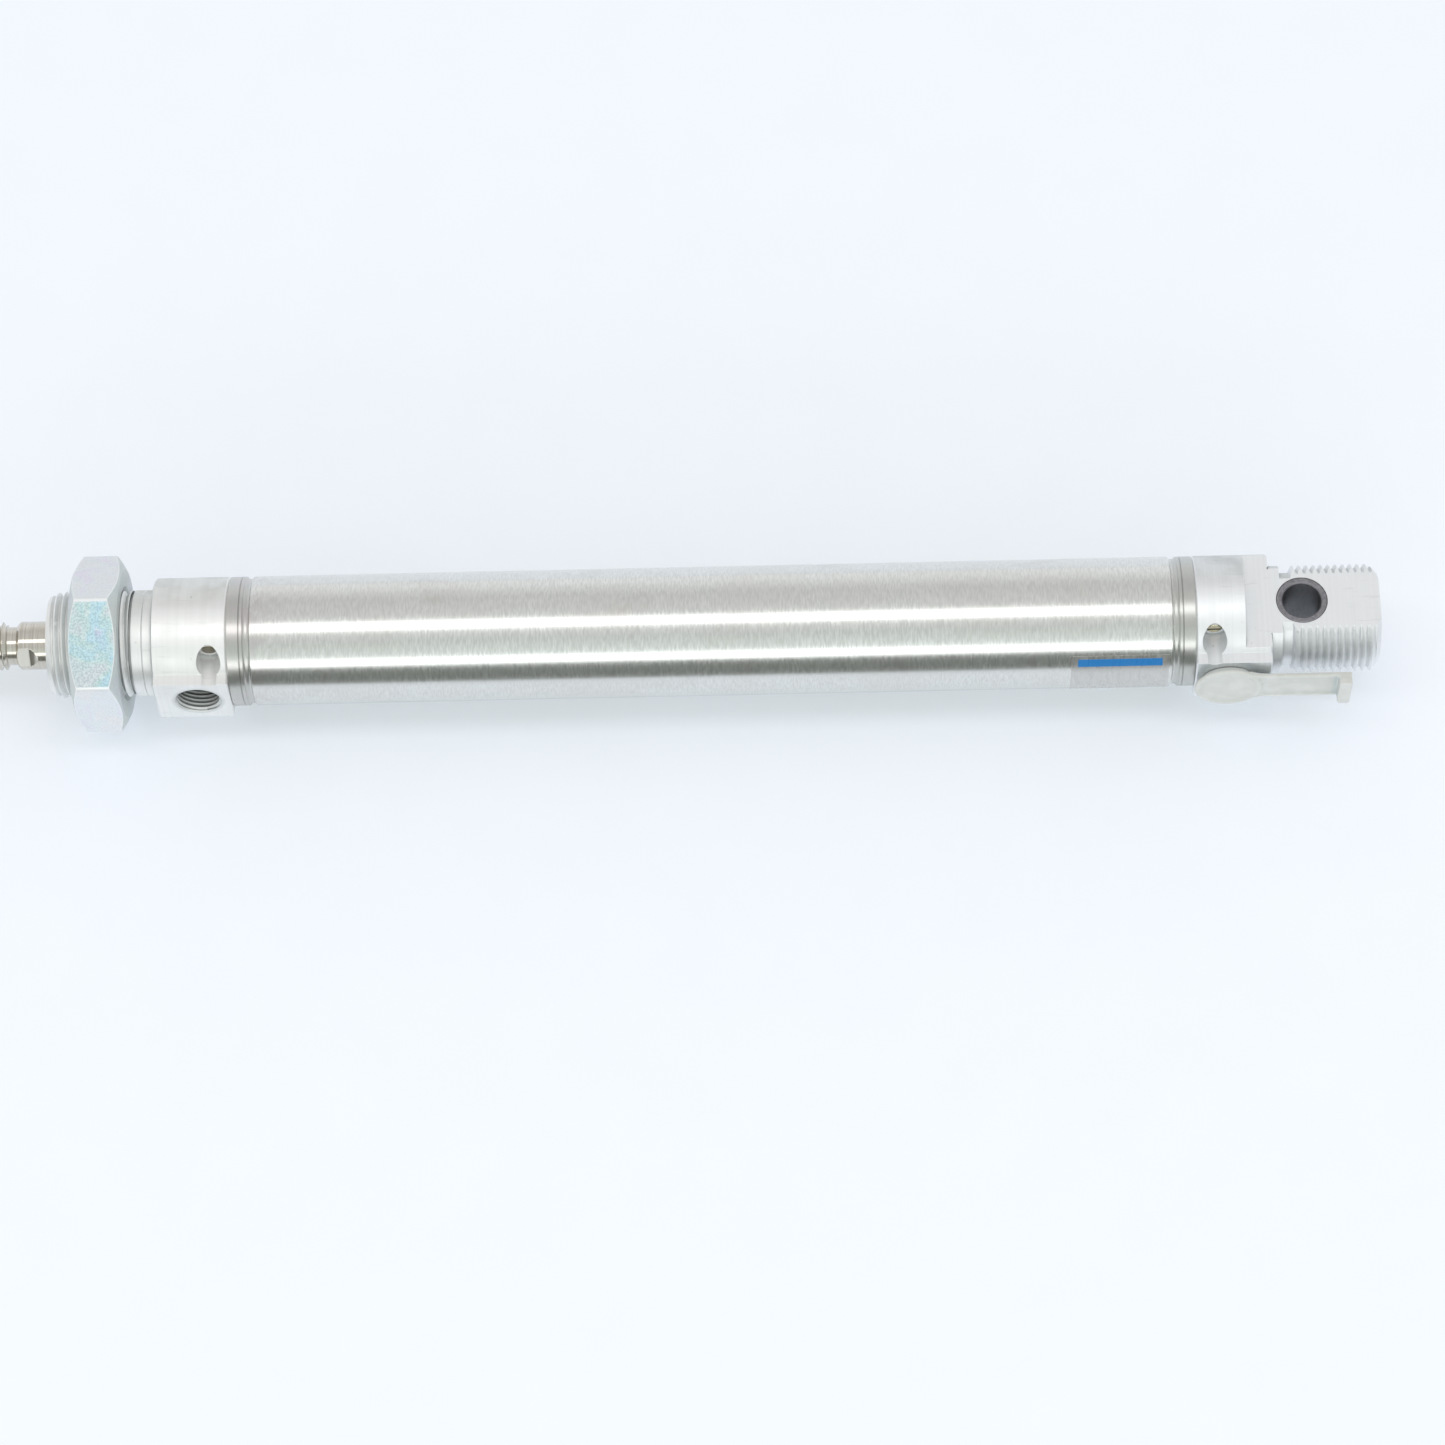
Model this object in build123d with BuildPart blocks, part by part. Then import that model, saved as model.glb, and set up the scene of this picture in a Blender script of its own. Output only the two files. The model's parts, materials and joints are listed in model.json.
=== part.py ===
from build123d import *

import math
import os

# A double-acting round pneumatic cylinder, 25 mm bore and 160 mm stroke, rod retracted.
# All sizes are in millimetres. The origin lies on the axis at the front mounting face,
# +X runs along the axis to the rear lug, the ports open towards -Y, and the pivot runs along Z.

# ---- Driving dimensions ----

bore_radius = 12.5
stroke = 160.0
rod_radius = 5.0

end_gap = 0.2
running_gap = 0.02
seal_gap = 0.05
ring_gap = 0.01
overlap = 1.0

cap_radius = 13.4
cap_length = 15.5
cap_edge = 0.3
port_flat_y = -13.75
port_block_width = 14.0
spigot_length = 10.0
spigot_radius = bore_radius - seal_gap
spigot_chamfer = 0.4

barrel_radius = 13.36
lip_to_line = 2.6
lip_to_groove = 4.1
roll_radius = 0.9
roll_depth = 0.5
roll_gap = 0.1
scribed_line_radius = 0.12
lip_chamfer = 0.2

neck_thread_radius = 11.0
neck_length = 22.0
neck_chamfer = (2.0, 1.0)
collar_length = 4.3
runout_width = 0.6
runout_radius = 10.2
corner_relief = 0.15

port_from_lip = 6.7
port_radius = 4.285
port_mouth_radius = 4.9
port_floor_y = -5.0
needle_from_lip = 3.7
needle_z = 9.0
needle_hole_radius = 1.6
needle_counterbore_radius = 2.5
needle_floor_y = -6.7
needle_seat_y = -0.2
needle_travel = 1.5
air_hole_radius = 0.75
air_passage_y = 2.5

chamber_radius = 7.0
chamber_floor_x = 3.0
spear_radius = 6.4
spear_length = 16.0
journal_radius = 4.0
piston_length = 18.0
piston_radius = 12.2

rod_thread_length = 22.0
rod_shoulder_x = -29.0
rod_relief = (2.0, 3.95)
wrench_flat = 4.5
wrench_flat_turn = 151.0
wrench_flat_end_x = -22.6
wrench_cutter_radius = 4.2

nut_front_x = -16.6
nut_thickness = 10.0
nut_flats = 32.0
nut_turn = 28.3
nut_chamfer_radius = 15.5
nut_corner_radius = 1.5

lug_half_width = 8.0
lug_from_lip = 10.0
pivot_from_shoulder = 6.6
pivot_radius = 4.0
bush_radius = 5.3
lug_end_from_shoulder = 22.6
lug_chamfer = 1.8

label_size = 20.0
label_film = 0.08
label_start_x = 188.4
label_turn = 148.8

# ---- Derived places along the axis ----

barrel_length = stroke + piston_length + 2 * end_gap + 2 * spigot_length
barrel_end_x = cap_length + barrel_length
rear_shoulder_x = barrel_end_x + cap_length
spigot_end_x = cap_length + spigot_length
piston_rear_x = barrel_end_x - spigot_length - end_gap
piston_front_x = piston_rear_x - piston_length
piston_middle_x = piston_rear_x - piston_length / 2
front_sleeve_x = piston_front_x - spear_length
rear_spear_end_x = piston_rear_x + spear_length
port_x = cap_length - port_from_lip
needle_x = cap_length - needle_from_lip
pivot_x = rear_shoulder_x + pivot_from_shoulder
lug_end_x = rear_shoulder_x + lug_end_from_shoulder

middle_plane = Plane.YZ.offset(cap_length + barrel_length / 2)
piston_plane = Plane.YZ.offset(piston_middle_x)


# ---- Helpers ----

def outline(*points):
    """A closed flat outline of (x, radius) points, ready to be turned about the X axis."""
    with BuildSketch() as flat:
        with BuildLine():
            Polyline(*points, close=True)
        make_face()
    return flat.sketch


def band(start, end, inner, outer):
    """The outline of a plain ring between two places on the axis."""
    return outline((start, inner), (end, inner), (end, outer), (start, outer))


def corner_groove(face_x):
    """The outline of the small relief cut in the corner between a cap's face and its collar."""
    inner = neck_thread_radius - corner_relief
    outer = neck_thread_radius + corner_relief
    return band(face_x - corner_relief, face_x + corner_relief, inner, outer)


def write(piece, name):
    """Label a finished piece and write its STEP file."""
    piece.part.label = name
    export_step(piece.part, f"parts/{name}.step")


os.makedirs("parts", exist_ok=True)

# ---- End caps: the half that both caps share, drawn as the front one ----

o_ring_groove = (22.1, 24.1, 10.95)
seal_groove = (21.2, 24.35, 7.85)
roll_centre_radius = bore_radius + roll_radius / 2
roll_x = cap_length + lip_to_groove

with BuildPart() as cap_core:
    with BuildSketch(Plane.YZ):
        Circle(cap_radius)
        with Locations((port_flat_y / 2, 0)):
            Rectangle(-port_flat_y, port_block_width)
    extrude(amount=cap_length)
    chamfer(cap_core.faces().sort_by(Axis.X)[0].edges(), cap_edge)
    chamfer(cap_core.faces().sort_by(Axis.X)[-1].edges(), cap_edge)
    with BuildSketch() as spigot:
        with BuildLine():
            Polyline(
                (cap_length - overlap, 0),
                (spigot_end_x, 0),
                (spigot_end_x, spigot_radius - spigot_chamfer),
                (spigot_end_x - spigot_chamfer, spigot_radius),
                (cap_length - overlap, spigot_radius),
                close=True,
            )
        make_face()
        with Locations((roll_x, roll_centre_radius)):
            Circle(roll_radius + roll_gap, mode=Mode.SUBTRACT)
    revolve(axis=Axis.X)
    groove_start, groove_end, groove_radius = o_ring_groove
    revolve(band(groove_start, groove_end, groove_radius, bore_radius), Axis.X, mode=Mode.SUBTRACT)
    revolve(band(chamber_floor_x, spigot_end_x, 0, chamber_radius), Axis.X, mode=Mode.SUBTRACT)
    groove_start, groove_end, groove_radius = seal_groove
    revolve(band(groove_start, groove_end, 0, groove_radius), Axis.X, mode=Mode.SUBTRACT)
    # air port, straight into the cushion chamber
    with Locations(Plane((port_x, port_flat_y, 0), z_dir=(0, -1, 0))):
        CounterSinkHole(port_radius, port_mouth_radius, depth=port_floor_y - port_flat_y)
    # cushion screw hole, with its seat and the two small passages round it
    with Locations(Plane((needle_x, port_flat_y, needle_z), z_dir=(0, -1, 0))):
        CounterBoreHole(
            needle_hole_radius,
            needle_counterbore_radius,
            counter_bore_depth=needle_floor_y - port_flat_y,
            depth=needle_seat_y - port_flat_y,
        )
        Hole(air_hole_radius, depth=air_passage_y + air_hole_radius - port_flat_y)
    with Locations(Plane((needle_x, needle_seat_y - air_hole_radius, needle_z), z_dir=(0, 0, 1))):
        Hole(air_hole_radius, depth=needle_z - chamber_radius + overlap)
    with Locations(Plane((spigot_end_x, air_passage_y, needle_z), z_dir=(1, 0, 0))):
        Hole(air_hole_radius, depth=spigot_end_x - needle_x)

# ---- Front end cap: the shared half with the threaded neck, bush bore and seal housing ----

bush_start_x, bush_end_x, bush_wall_radius = -16.0, -2.0, 6.5
seal_start_x, seal_end_x, seal_wall_radius = -21.2, -16.8, 8.0
mouth_radius = 6.3
land_radius = 5.6
line_x, line_depth = -2.1, 0.15

with BuildPart() as front_end_cap:
    add(cap_core.part)
    revolve(
        outline(
            (overlap, 0),
            (-neck_length, 0),
            (-neck_length, neck_thread_radius - neck_chamfer[1]),
            (-neck_length + neck_chamfer[0], neck_thread_radius),
            (-collar_length - runout_width, neck_thread_radius),
            (-collar_length - runout_width, runout_radius),
            (-collar_length, runout_radius),
            (-collar_length, neck_thread_radius),
            (line_x - line_depth, neck_thread_radius),
            (line_x, neck_thread_radius - line_depth),
            (line_x + line_depth, neck_thread_radius),
            (overlap, neck_thread_radius),
        ),
        Axis.X,
    )
    revolve(corner_groove(0), Axis.X, mode=Mode.SUBTRACT)
    bore_steps = (
        (-neck_length, seal_start_x, mouth_radius),
        (seal_start_x, seal_end_x, seal_wall_radius),
        (seal_end_x, bush_start_x, land_radius),
        (bush_start_x, chamber_floor_x, bush_wall_radius),
        (chamber_floor_x, cap_length, chamber_radius),
    )
    for start, end, radius in bore_steps:
        revolve(band(start, end, 0, radius), Axis.X, mode=Mode.SUBTRACT)
write(front_end_cap, "front_end_cap")

# ---- Rear end cap: the mirrored half with the threaded lug, cut flat for the pivot ----

rear_collar_end = 2.3
undercut_end = 4.5
undercut_radius = 9.5
undercut_slope = 0.7

with BuildPart() as rear_end_cap:
    add(cap_core.part.mirror(middle_plane))
    revolve(
        outline(
            (rear_shoulder_x - overlap, 0),
            (rear_shoulder_x - overlap, neck_thread_radius),
            (rear_shoulder_x + rear_collar_end, neck_thread_radius),
            (rear_shoulder_x + rear_collar_end, undercut_radius),
            (rear_shoulder_x + undercut_end, undercut_radius),
            (rear_shoulder_x + undercut_end + undercut_slope, neck_thread_radius),
            (lug_end_x - lug_chamfer, neck_thread_radius),
            (lug_end_x, neck_thread_radius - lug_chamfer),
            (lug_end_x, 0),
        ),
        Axis.X,
    )
    revolve(corner_groove(rear_shoulder_x), Axis.X, mode=Mode.SUBTRACT)
    flat_start_x = barrel_end_x + lug_from_lip
    for side in (1, -1):
        with Locations(((flat_start_x + lug_end_x) / 2, 0, side * (lug_half_width + cap_radius / 2))):
            Box(lug_end_x - flat_start_x, 2 * cap_radius, cap_radius, mode=Mode.SUBTRACT)
    with Locations((pivot_x, 0, 0)):
        Cylinder(bush_radius, 2 * lug_half_width, mode=Mode.SUBTRACT)
write(rear_end_cap, "rear_end_cap")

# ---- Barrel: thin tube with a scribed line and a rolled groove near each end ----

with BuildPart() as barrel_tube:
    with BuildSketch():
        with Locations((cap_length + barrel_length / 2, (bore_radius + barrel_radius) / 2)):
            Rectangle(barrel_length, barrel_radius - bore_radius)
        for lip_x, inward in ((cap_length, 1), (barrel_end_x, -1)):
            with Locations((lip_x + inward * lip_to_groove, roll_centre_radius)):
                Circle(roll_radius)
            with Locations((lip_x + inward * lip_to_groove, barrel_radius - roll_depth + roll_radius)):
                Circle(roll_radius, mode=Mode.SUBTRACT)
            with Locations((lip_x + inward * lip_to_line, barrel_radius)):
                Circle(scribed_line_radius, mode=Mode.SUBTRACT)
    revolve(axis=Axis.X)
    lips = barrel_tube.edges().filter_by(GeomType.CIRCLE).group_by(SortBy.RADIUS)[-1]
    chamfer((lips.sort_by(Axis.X)[0], lips.sort_by(Axis.X)[-1]), lip_chamfer)
write(barrel_tube, "barrel_tube")

# ---- Seals and rings held by the caps, the front one first and the rear one mirrored ----

with BuildPart() as front_barrel_o_ring:
    groove_start, groove_end, groove_radius = o_ring_groove
    section = (bore_radius - groove_radius) / 2 - ring_gap
    with Locations(((groove_start + groove_end) / 2, 0, 0)):
        Torus((bore_radius + groove_radius) / 2, section, rotation=(0, 90, 0))
write(front_barrel_o_ring, "front_barrel_o_ring")

with BuildPart() as rear_barrel_o_ring:
    add(front_barrel_o_ring.part.mirror(middle_plane))
write(rear_barrel_o_ring, "rear_barrel_o_ring")

heel_rise, waist_rise, mouth_rise = 0.9, 0.7, 0.35
waist_length, lip_start, lip_end = 1.4, 0.9, 0.4

with BuildPart() as front_cushion_seal:
    groove_start, groove_end, groove_radius = seal_groove
    lip_radius = spear_radius + seal_gap
    revolve(
        outline(
            (groove_start + seal_gap, groove_radius - seal_gap),
            (groove_start + seal_gap, lip_radius + heel_rise),
            (groove_start + waist_length, lip_radius + waist_rise),
            (groove_end - lip_start, lip_radius),
            (groove_end - lip_end, lip_radius),
            (groove_end - seal_gap, lip_radius + mouth_rise),
            (groove_end - seal_gap, groove_radius - seal_gap),
        ),
        Axis.X,
    )
write(front_cushion_seal, "front_cushion_seal")

with BuildPart() as rear_cushion_seal:
    add(front_cushion_seal.part.mirror(middle_plane))
write(rear_cushion_seal, "rear_cushion_seal")

guide_bush_chamfer = 0.4

with BuildPart() as rod_guide_bush:
    revolve(
        outline(
            (bush_start_x, rod_radius + running_gap),
            (bush_start_x, bush_wall_radius - guide_bush_chamfer),
            (bush_start_x + guide_bush_chamfer, bush_wall_radius),
            (bush_end_x, bush_wall_radius),
            (bush_end_x, rod_radius + running_gap),
        ),
        Axis.X,
    )
write(rod_guide_bush, "rod_guide_bush")

wiper_reach, wiper_land, wiper_slope = 0.5, 0.3, 1.2
inner_lip_start, inner_lip_end, inner_lip_rise = 2.0, 1.2, 0.2
wiper_waist_rise, wiper_mouth_gap = 0.6, 0.2

with BuildPart() as rod_wiper_seal:
    wiper_radius = rod_radius + running_gap
    waist_radius = rod_radius + wiper_waist_rise
    seal_outer_radius = seal_wall_radius - seal_gap
    revolve(
        outline(
            (seal_end_x - seal_gap, seal_outer_radius),
            (seal_start_x + seal_gap, seal_outer_radius),
            (seal_start_x + seal_gap, mouth_radius - wiper_mouth_gap),
            (seal_start_x - wiper_reach, waist_radius),
            (seal_start_x - wiper_reach, wiper_radius),
            (seal_start_x + wiper_land, wiper_radius),
            (seal_start_x + wiper_slope, waist_radius),
            (seal_end_x - inner_lip_start, waist_radius),
            (seal_end_x - inner_lip_end, wiper_radius),
            (seal_end_x - seal_gap, wiper_radius + inner_lip_rise),
        ),
        Axis.X,
    )
write(rod_wiper_seal, "rod_wiper_seal")

pivot_bush_chamfer = 0.25

with BuildPart() as pivot_bush:
    with BuildSketch():
        Circle(bush_radius)
        Circle(pivot_radius, mode=Mode.SUBTRACT)
    extrude(amount=lug_half_width, both=True)
    for end_face in (0, -1):
        chamfer(pivot_bush.edges().filter_by(GeomType.CIRCLE).group_by(Axis.Z)[end_face], pivot_bush_chamfer)
    pivot_bush.part.move(Location((pivot_x, 0, 0)))
write(pivot_bush, "pivot_bush")

# ---- Rating label: a blank film wrapped round part of the barrel ----

with BuildPart() as rating_label:
    label_arc = math.degrees(label_size / barrel_radius)
    label_plane = Plane.XY.rotated((label_turn, 0, 0))
    with BuildSketch(label_plane):
        with Locations((label_start_x + label_size / 2, barrel_radius + label_film / 2)):
            Rectangle(label_size, label_film)
    revolve(axis=Axis.X, revolution_arc=label_arc)
write(rating_label, "rating_label")

# ---- Piston rod with its thread, wrench flats and the stepped journal for the piston ----

thread_end_x = rod_shoulder_x - rod_relief[0]
rod_tip_x = rod_shoulder_x - rod_thread_length
journal_reach = 9.0
journal_end_x = piston_rear_x + journal_reach
tip_chamfer, thread_end_chamfer, rod_chamfer = 0.9, 0.5, 0.6
flat_cut_height = 5.0

with BuildPart() as piston_rod:
    revolve(
        outline(
            (rod_tip_x, 0),
            (rod_tip_x, rod_radius - tip_chamfer),
            (rod_tip_x + tip_chamfer, rod_radius),
            (thread_end_x - thread_end_chamfer, rod_radius),
            (thread_end_x, rod_relief[1]),
            (rod_shoulder_x, rod_relief[1]),
            (rod_shoulder_x, rod_radius - rod_chamfer),
            (rod_shoulder_x + rod_chamfer, rod_radius),
            (front_sleeve_x, rod_radius),
            (front_sleeve_x, journal_radius),
            (journal_end_x - rod_chamfer, journal_radius),
            (journal_end_x, journal_radius - rod_chamfer),
            (journal_end_x, 0),
        ),
        Axis.X,
    )
    for turn in (wrench_flat_turn, wrench_flat_turn + 180):
        with BuildSketch(Plane.XY.rotated((turn, 0, 0))) as flat_cut:
            with Locations((wrench_flat_end_x, wrench_flat)):
                cut_length = wrench_flat_end_x - rod_shoulder_x + overlap
                Rectangle(cut_length, flat_cut_height, align=(Align.MAX, Align.MIN))
            end_corners = flat_cut.vertices().group_by(Axis.X)[-1]
            fillet(end_corners.sort_by(Axis.Y)[0], wrench_cutter_radius)
        extrude(amount=2 * rod_radius, both=True, mode=Mode.SUBTRACT)
write(piston_rod, "piston_rod")

# ---- Cushion sleeve in front of the piston, and the screwed cushion spear behind it ----

nose_length = 2.0
nose_drop = 0.6
socket_radius = 2.5
socket_depth = 3.5
journal_room = 0.5

with BuildPart() as front_cushion_sleeve:
    revolve(
        outline(
            (front_sleeve_x, journal_radius),
            (front_sleeve_x, spear_radius - nose_drop),
            (front_sleeve_x + nose_length, spear_radius),
            (piston_front_x, spear_radius),
            (piston_front_x, journal_radius),
        ),
        Axis.X,
    )
write(front_cushion_sleeve, "front_cushion_sleeve")

with BuildPart() as rear_cushion_spear:
    revolve(
        outline(
            (piston_rear_x, journal_radius),
            (piston_rear_x, spear_radius),
            (rear_spear_end_x - nose_length, spear_radius),
            (rear_spear_end_x, spear_radius - nose_drop),
            (rear_spear_end_x, 0),
            (journal_end_x + journal_room, 0),
            (journal_end_x + journal_room, journal_radius),
        ),
        Axis.X,
    )
    with BuildSketch(Plane.YZ.offset(rear_spear_end_x)):
        RegularPolygon(socket_radius, 6, major_radius=False)
    extrude(amount=-socket_depth, mode=Mode.SUBTRACT)
write(rear_cushion_spear, "rear_cushion_spear")

# ---- Piston in two halves, clamped round the guide ring, the lip seals and a rod O-ring ----

piston_chamfer = 0.5
seal_land = 1.5
piston_seal_width = 3.2
piston_seal_floor = 9.4
guide_half_width = 2.5
guide_floor = 11.2
rod_ring_width = 1.2
rod_ring_radius = 5.2
lip_length, lip_rise, lip_thickness = 1.4, 0.3, 0.8
piston_seal_x = piston_front_x + seal_land

with BuildPart() as piston_core:
    revolve(
        outline(
            (piston_front_x, journal_radius),
            (piston_front_x, piston_radius - piston_chamfer),
            (piston_front_x + piston_chamfer, piston_radius),
            (piston_middle_x, piston_radius),
            (piston_middle_x, journal_radius),
        ),
        Axis.X,
    )
    seal_slot = band(piston_seal_x, piston_seal_x + piston_seal_width, piston_seal_floor, bore_radius)
    revolve(seal_slot, Axis.X, mode=Mode.SUBTRACT)
    guide_slot = band(piston_middle_x - guide_half_width, piston_middle_x, guide_floor, bore_radius)
    revolve(guide_slot, Axis.X, mode=Mode.SUBTRACT)

with BuildPart() as piston_front_half:
    add(piston_core.part)
    ring_slot = band(piston_middle_x - rod_ring_width, piston_middle_x, journal_radius, rod_ring_radius)
    revolve(ring_slot, Axis.X, mode=Mode.SUBTRACT)
write(piston_front_half, "piston_front_half")

with BuildPart() as piston_rear_half:
    add(piston_core.part.mirror(piston_plane))
write(piston_rear_half, "piston_rear_half")

with BuildPart() as piston_rod_o_ring:
    with Locations((piston_middle_x - rod_ring_width / 2, 0, 0)):
        Torus((journal_radius + rod_ring_radius) / 2, rod_ring_width / 2 - running_gap, rotation=(0, 90, 0))
write(piston_rod_o_ring, "piston_rod_o_ring")

with BuildPart() as piston_front_seal:
    lip_x = piston_seal_x + seal_gap
    back_x = piston_seal_x + piston_seal_width - seal_gap
    floor = piston_seal_floor + seal_gap
    lip = bore_radius - running_gap
    body_radius = lip - lip_rise
    revolve(
        outline(
            (back_x, floor),
            (back_x, body_radius),
            (lip_x + lip_length, body_radius),
            (lip_x, lip),
            (lip_x, lip - lip_thickness),
            (lip_x + lip_length, (lip + floor) / 2),
            (lip_x, floor + lip_thickness),
            (lip_x, floor),
        ),
        Axis.X,
    )
write(piston_front_seal, "piston_front_seal")

with BuildPart() as piston_rear_seal:
    add(piston_front_seal.part.mirror(piston_plane))
write(piston_rear_seal, "piston_rear_seal")

with BuildPart() as piston_guide_ring:
    half = guide_half_width - seal_gap
    inner, outer = guide_floor + seal_gap, bore_radius - seal_gap
    revolve(band(piston_middle_x - half, piston_middle_x + half, inner, outer), Axis.X)
write(piston_guide_ring, "piston_guide_ring")

# ---- Cushion screws with their O-rings, the front one closed and the rear one open ----

screw_radius = needle_hole_radius - seal_gap
closed_head_y = -5.4
screw_chamfer = 0.2
slot_width, slot_depth = 0.55, 0.7
ring_groove_start, ring_groove_end, ring_groove_radius = 2.4, 3.5, 0.95
ring_section = 0.3
land_length, cone_reach = 0.5, 2.5
land_end, cone_end = ring_groove_end + land_length, ring_groove_end + cone_reach
cone_base_radius, cone_tip_radius = 1.1, 0.45

for end_name, screw_x, head_y in (
    ("front", needle_x, closed_head_y),
    ("rear", barrel_end_x + needle_from_lip, closed_head_y - needle_travel),
):
    head = (screw_x, head_y, needle_z)
    screw_axis = Axis(head, (0, 1, 0))
    with BuildPart() as cushion_screw:
        with BuildSketch(Plane(head, x_dir=(1, 0, 0), z_dir=(0, 0, 1))):
            with BuildLine():
                Polyline(
                    (0, 0),
                    (screw_radius - screw_chamfer, 0),
                    (screw_radius, screw_chamfer),
                    (screw_radius, ring_groove_start),
                    (ring_groove_radius, ring_groove_start),
                    (ring_groove_radius, ring_groove_end),
                    (screw_radius, ring_groove_end),
                    (screw_radius, land_end),
                    (cone_base_radius, land_end),
                    (cone_tip_radius, cone_end),
                    (0, cone_end),
                    close=True,
                )
            make_face()
        revolve(axis=screw_axis)
        with Locations((screw_x, head_y, needle_z)):
            Box(2 * needle_hole_radius, 2 * slot_depth, slot_width, mode=Mode.SUBTRACT)
    write(cushion_screw, f"{end_name}_cushion_screw")
    with BuildPart() as screw_o_ring:
        with Locations((screw_x, head_y + (ring_groove_start + ring_groove_end) / 2, needle_z)):
            ring_radius = ring_groove_radius + running_gap + ring_section
            Torus(ring_radius, ring_section, rotation=(90, 0, 0))
    write(screw_o_ring, f"{end_name}_screw_o_ring")

# ---- Mounting nut on the neck ----

nut_rear_x = nut_front_x + nut_thickness
nut_bore_radius = neck_thread_radius + seal_gap
nut_bore_chamfer = 0.9
nut_corner = nut_flats / 2 / math.cos(math.radians(30))
chamfer_run = (nut_corner - nut_chamfer_radius) * math.tan(math.radians(30))

with BuildPart() as mounting_nut:
    with BuildSketch(Plane.YZ.offset(nut_front_x)) as hexagon:
        RegularPolygon(nut_flats / 2, 6, major_radius=False, rotation=nut_turn)
        fillet(hexagon.vertices(), nut_corner_radius)
    extrude(amount=nut_thickness)
    revolve(
        outline(
            (nut_front_x, nut_bore_radius + nut_bore_chamfer),
            (nut_front_x, nut_chamfer_radius),
            (nut_front_x + chamfer_run, nut_corner),
            (nut_rear_x - chamfer_run, nut_corner),
            (nut_rear_x, nut_chamfer_radius),
            (nut_rear_x, nut_bore_radius + nut_bore_chamfer),
            (nut_rear_x - nut_bore_chamfer, nut_bore_radius),
            (nut_front_x + nut_bore_chamfer, nut_bore_radius),
        ),
        Axis.X,
        mode=Mode.INTERSECT,
    )
write(mounting_nut, "mounting_nut")

# ---- Plug in the rear port: stem, sealing collar, flange and a strap with a grip ----

plug_x = barrel_end_x + port_from_lip
flange_radius, flange_inner_y, flange_outer_y = 7.0, -15.1, -16.0
flange_chamfer = 0.3
collar_radius = 5.6
stem_radius, stem_end_y = 4.2, -8.7
stem_lead = (0.7, 1.2)
strap_from_plug = (3.0, 25.1)
strap_width, strap_inner_y, strap_outer_y = 8.6, -14.8, -15.4
rim_width, rim_height = 0.8, 0.35
grip_length, grip_outer_y = 2.7, -17.8

with BuildPart() as port_plug:
    with BuildSketch(Plane((plug_x, 0, 0), x_dir=(1, 0, 0), z_dir=(0, 0, 1))):
        with BuildLine():
            Polyline(
                (0, stem_end_y),
                (stem_radius - stem_lead[0], stem_end_y),
                (stem_radius, stem_end_y - stem_lead[1]),
                (stem_radius, port_flat_y - seal_gap),
                (collar_radius, port_flat_y - seal_gap),
                (collar_radius, flange_inner_y),
                (flange_radius - flange_chamfer, flange_inner_y),
                (flange_radius, flange_inner_y - flange_chamfer),
                (flange_radius, flange_outer_y + flange_chamfer),
                (flange_radius - flange_chamfer, flange_outer_y),
                (0, flange_outer_y),
                close=True,
            )
        make_face()
    revolve(axis=Axis((plug_x, 0, 0), (0, 1, 0)))
    strap_start_x, strap_end_x = (plug_x + reach for reach in strap_from_plug)
    strap_length = strap_end_x - strap_start_x
    strap_middle_x = (strap_start_x + strap_end_x) / 2
    with Locations((strap_middle_x, (strap_inner_y + strap_outer_y) / 2, 0)):
        Box(strap_length, strap_inner_y - strap_outer_y, strap_width)
    for side in (1, -1):
        rim_z = side * (strap_width - rim_width) / 2
        with Locations((strap_middle_x, strap_outer_y - rim_height / 2, rim_z)):
            Box(strap_length, rim_height, rim_width)
    with Locations((strap_end_x - grip_length / 2, (strap_inner_y + grip_outer_y) / 2, 0)):
        Box(grip_length, strap_inner_y - grip_outer_y, strap_width)
write(port_plug, "port_plug")
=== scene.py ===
import json
import math

import bmesh
import bpy
from mathutils import Matrix, Vector

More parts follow.
